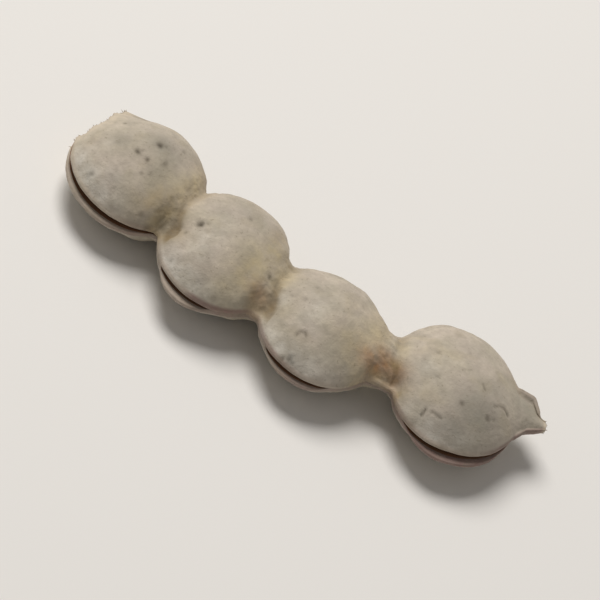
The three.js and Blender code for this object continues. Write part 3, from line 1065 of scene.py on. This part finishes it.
# A colour Mix node's own sockets.
FACTOR, COLOUR_A, COLOUR_B, MIXED = 0, 6, 7, 2

# Sizes of what shows in the husk, in mm across.
CLOUD = 3.2  # broad clouds where the down is thicker or thinner
MOTTLE = 1.0  # smaller mottling inside the clouds
TUFT = 0.4  # tufts of down
FELT = 0.15  # the felt of single hairs, which are 0.02 mm thick and drawn about eight times as coarse
FLECK = 0.3  # bare flecks where the down has fallen out
STREAK = 0.5  # streaks in the lining
FIBRE = 0.2  # bundles of broken fibre

# How deep the finest relief looks, in mm.
DOWN_DEPTH = 0.07
FIBRE_DEPTH = 0.06

# What colours the husk besides its ground: mask, colour, and its least and most cover as the mottling varies.
WASHES = (
    # partly painted shade on the beads' flanks towards the next waist
    ("tan_and_shade", "#a79a7c", 0.6, 0.95),
    # partly painted light at the gaping ends of the waists
    ("cream_and_light", "#c6b693", 0.6, 0.95),
    # partly painted highlight along the gaping side of the beads
    ("pale_and_highlight", "#cecac1", 0.35, 0.8),
    # partly painted shade near the third bead's gaping edge
    ("bloom_and_shade", "#89857b", 0.6, 0.95),
    ("rust", "#a47140", 0.6, 0.95),
    # partly painted shade on the flanks beside the waists
    ("olive_and_shade", "#8a7753", 0.45, 0.9),
    # painted shade: darkens the creases where a dome stands up out of its neck
    ("crease", "#776547", 0.5, 0.85),
    ("bare", "#846a66", 0.65, 0.9),
)


def downy_husk():
    """Dried pod husk under a close grey down, as it grew: the down makes it matt and soft to the eye, clouded
    where it is thicker or rubbed, and the bare husk shows mauve-brown along the edges."""
    material, tree = new_material("downy_husk")
    where = add(tree, "TexCoord")["Object"]
    clouds, mottling, tufts, felt = (
        add(tree, "TexNoise", {"Vector": where, "Scale": 1 / (size * MM), "Detail": detail})["Fac"]
        for size, detail in ((CLOUD, 2.0), (MOTTLE, 3.0), (TUFT, 3.0), (FELT, 2.0))
    )

    # The ground: greige, in clouds of a yellower and a greyer tint.
    share = add(tree, "MapRange", {"Value": clouds, "From Min": 0.38, "From Max": 0.62})["Result"]
    tints = {COLOUR_A: linear("#c3b8aa"), COLOUR_B: linear("#b5ac9c")}
    colour = add(tree, "Mix", {FACTOR: share, **tints}, data_type="RGBA")[MIXED]

    # The washes over it, each patchy with the mottling. The crease wash is painted shade; the tan, olive and
    # bloom washes are partly painted shade, and the cream and pale ones partly painted light.
    for name, wash, least, most in WASHES:
        mask = add(tree, "Attribute", attribute_name=name)["Fac"]
        limits = {"From Min": 0.35, "From Max": 0.65, "To Min": least, "To Max": most}
        patchy = add(tree, "MapRange", {"Value": mottling, **limits})["Result"]
        cover = add(tree, "Math", {0: mask, 1: patchy}, operation="MULTIPLY")["Value"]
        tints = {COLOUR_A: colour, COLOUR_B: linear(wash)}
        colour = add(tree, "Mix", {FACTOR: cover, **tints}, data_type="RGBA")[MIXED]

    # Lighter and darker mottles and tufts.
    for pattern, low, high in ((clouds, 0.93, 1.06), (mottling, 0.89, 1.10), (tufts, 0.95, 1.04)):
        limits = {"From Min": 0.3, "From Max": 0.7, "To Min": low, "To Max": high}
        shade = add(tree, "MapRange", {"Value": pattern, **limits})["Result"]
        colour = add(tree, "VectorMath", {0: colour, "Scale": shade}, operation="SCALE")["Vector"]

    # Flecks where the down has fallen out, the stain in the pits and folds, and bare fibre at the torn ends.
    flecks = add(tree, "TexNoise", {"Vector": where, "Scale": 1 / (FLECK * MM), "Detail": 1.0})["Fac"]
    limits = {"From Min": 0.66, "From Max": 0.76, "To Max": 0.35}
    fleck_cover = add(tree, "MapRange", {"Value": flecks, **limits})["Result"]
    dark = add(tree, "Attribute", attribute_name="dark")["Fac"]
    torn = add(tree, "Attribute", attribute_name="torn")["Fac"]
    for cover, stain in ((fleck_cover, "#7d7361"), (dark, "#4d463b"), (torn, "#cabeab")):
        tints = {COLOUR_A: colour, COLOUR_B: linear(stain)}
        colour = add(tree, "Mix", {FACTOR: cover, **tints}, data_type="RGBA")[MIXED]

    # Tufts, with the felt half as high on them.
    height = add(tree, "Math", {0: felt, 1: 0.5, 2: tufts}, operation="MULTIPLY_ADD")["Value"]
    raised = add(tree, "Bump", {"Strength": 0.8, "Distance": DOWN_DEPTH * MM, "Height": height})["Normal"]
    sheen = {"Sheen Weight": 0.2, "Sheen Roughness": 0.5, "Sheen Tint": linear("#efe6d8")}
    gloss = {"Roughness": 0.92, "IOR": 1.45, "Specular IOR Level": 0.25, **sheen}
    husk = add(tree, "BsdfPrincipled", {"Base Color": colour, "Normal": raised, **gloss})["BSDF"]
    add(tree, "OutputMaterial", {"Surface": husk})
    return material


def bare_material(name, size, dark, light):
    """A material for bare husk, with a grain about size across: itself, its node tree, grain and colour."""
    material, tree = new_material(name)
    where = add(tree, "TexCoord")["Object"]
    grains = add(tree, "TexNoise", {"Vector": where, "Scale": 1 / (size * MM), "Detail": 3.0})["Fac"]
    tints = {COLOUR_A: linear(dark), COLOUR_B: linear(light)}
    return material, tree, grains, add(tree, "Mix", {FACTOR: grains, **tints}, data_type="RGBA")[MIXED]


def husk_lining():
    """The bare inside of the husk, as it dried: smooth, dull brown, darker in fine streaks."""
    material, tree, _, colour = bare_material("husk_lining", STREAK, "#70503a", "#956e50")
    lining = add(tree, "BsdfPrincipled", {"Base Color": colour, "Roughness": 0.6, "IOR": 1.45})["BSDF"]
    add(tree, "OutputMaterial", {"Surface": lining})
    return material


def torn_husk():
    """Husk torn across, which leaves pale broken fibre with no down: matt, straw-coloured and stringy."""
    material, tree, fibres, colour = bare_material("torn_husk", FIBRE, "#94836a", "#cfc3ad")
    raised = add(tree, "Bump", {"Strength": 0.6, "Distance": FIBRE_DEPTH * MM, "Height": fibres})["Normal"]
    torn = add(tree, "BsdfPrincipled", {"Base Color": colour, "Roughness": 0.85, "Normal": raised})["BSDF"]
    add(tree, "OutputMaterial", {"Surface": torn})
    return material


def studio_paper():
    """Uncoated backdrop paper: matt and even."""
    material, tree = new_material("studio_paper")
    paper = add(tree, "BsdfPrincipled", {"Base Color": linear("#ebeae8"), "Roughness": 0.95})["BSDF"]
    add(tree, "OutputMaterial", {"Surface": paper})
    return material


# ---- The stage, in metres ----

FLOOR_HALF = 1.5
LAMP_TOWARDS = (-0.40, 0.36, 0.84)  # from the pod to the lamp
LAMP_DISTANCE = 0.8
LAMP_SIZE = 0.45
LAMP_POWER = 5.6  # watts
FILL_STRENGTH = 0.24
CAMERA_AZIMUTH, CAMERA_ELEVATION, CAMERA_ROLL = 2.0, 46.0, 32.2  # degrees
CAMERA_DISTANCE = 0.42
VIEW_WIDTH = 0.0562  # at the pod
SENSOR_WIDTH = 36  # millimetres


def lay_floor():
    """A plain pale floor, far wider than the view."""
    corners = [(FLOOR_HALF * x, FLOOR_HALF * y, 0) for x, y in ((-1, -1), (1, -1), (1, 1), (-1, 1))]
    mesh = bpy.data.meshes.new("floor")
    mesh.from_pydata(corners, [], [(0, 1, 2, 3)])
    floor = place_object("floor", mesh)
    floor.data.materials.append(studio_paper())


def hang_lights():
    """One broad soft light from behind on the left, and an even fill."""
    towards = Vector(LAMP_TOWARDS).normalized()
    lamp = bpy.data.lights.new("window", "AREA")
    lamp.shape = "DISK"
    lamp.size = LAMP_SIZE
    lamp.energy = LAMP_POWER
    lamp.color = linear("#fffbf6")[:3]
    light = place_object("window", lamp)
    light.location = towards * LAMP_DISTANCE
    light.rotation_euler = towards.to_track_quat("Z", "Y").to_euler()

    world = bpy.data.worlds.new("fill")
    world.use_nodes = True
    background = world.node_tree.nodes["Background"]
    background.inputs["Color"].default_value = linear("#fffaf4")
    background.inputs["Strength"].default_value = FILL_STRENGTH
    bpy.context.scene.world = world
    bpy.context.scene.view_settings.view_transform = "Standard"


def set_camera():
    """Looks down on the gaping edge, turned so that the pod runs down to the right."""
    azimuth, elevation = math.radians(CAMERA_AZIMUTH), math.radians(CAMERA_ELEVATION)
    level = math.cos(elevation)
    back = Vector((math.sin(azimuth) * level, -math.cos(azimuth) * level, math.sin(elevation)))
    lens = bpy.data.cameras.new("camera")
    lens.sensor_width = SENSOR_WIDTH
    lens.lens = SENSOR_WIDTH * CAMERA_DISTANCE / VIEW_WIDTH
    camera = place_object("camera", lens)
    low, high = cad_box
    camera.location = (low + high) / 2 + back * CAMERA_DISTANCE
    camera.rotation_mode = "QUATERNION"
    roll = Quaternion((0, 0, 1), math.radians(CAMERA_ROLL))
    camera.rotation_quaternion = (-back).to_track_quat("-Z", "Y") @ roll
    bpy.context.scene.camera = camera


pod = pod_mesh()
for material in (downy_husk(), husk_lining(), torn_husk()):
    pod.data.materials.append(material)
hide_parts("pod")
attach(pod, "root")

lay_floor()
hang_lights()
set_camera()
